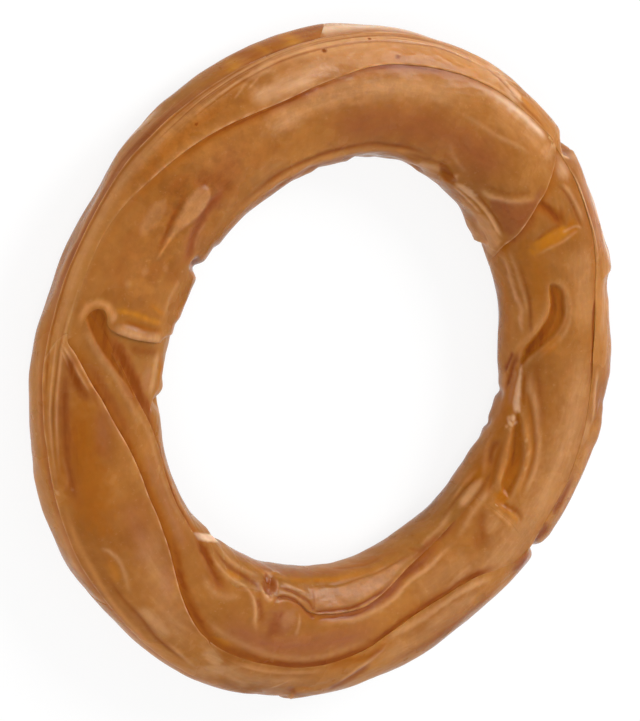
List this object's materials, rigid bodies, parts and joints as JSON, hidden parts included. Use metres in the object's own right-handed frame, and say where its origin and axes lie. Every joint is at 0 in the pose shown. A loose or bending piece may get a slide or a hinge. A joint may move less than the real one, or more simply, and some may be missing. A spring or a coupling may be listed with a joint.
{
  "type": "rawhide chew ring",
  "caption": "Flat pressed ring of amber-brown rawhide: lapped wraps of hide over a core of stacked hide strips, for a dog to chew.",
  "frame": {"origin": "on the ring's axis, in the plane of the flat back face that it rests on", "axes": "+Z is the ring's axis and points out of the front face, +X and +Y lie in the ring's plane, with +Y towards the picture's top"},
  "size_m": [0.1501, 0.1499, 0.0196],
  "materials": {
    "face_hide": "pressed hide, waxy satin",
    "inner_hide": "pressed hide, torn pale edges",
    "rim_hide": "pressed hide, waxy satin",
    "back_hide": "pressed hide, amber and smooth",
    "core_hide": "raw hide strip"
  },
  "bodies": {
    "root": {"top_face_wrap": "face_hide", "right_face_wrap": "face_hide", "lower_face_wrap": "face_hide", "inner_left_wrap": "inner_hide", "inner_lower_wrap": "inner_hide", "upper_rim_wrap": "rim_hide", "left_rim_wrap": "rim_hide", "lower_rim_wrap": "rim_hide", "right_rim_wrap": "rim_hide", "back_left_wrap": "back_hide", "back_lower_wrap": "back_hide", "back_right_wrap": "back_hide", "core_strip_1": "core_hide", "core_strip_2": "core_hide", "core_strip_3": "core_hide", "core_strip_4": "core_hide"}
  },
  "joints": []
}
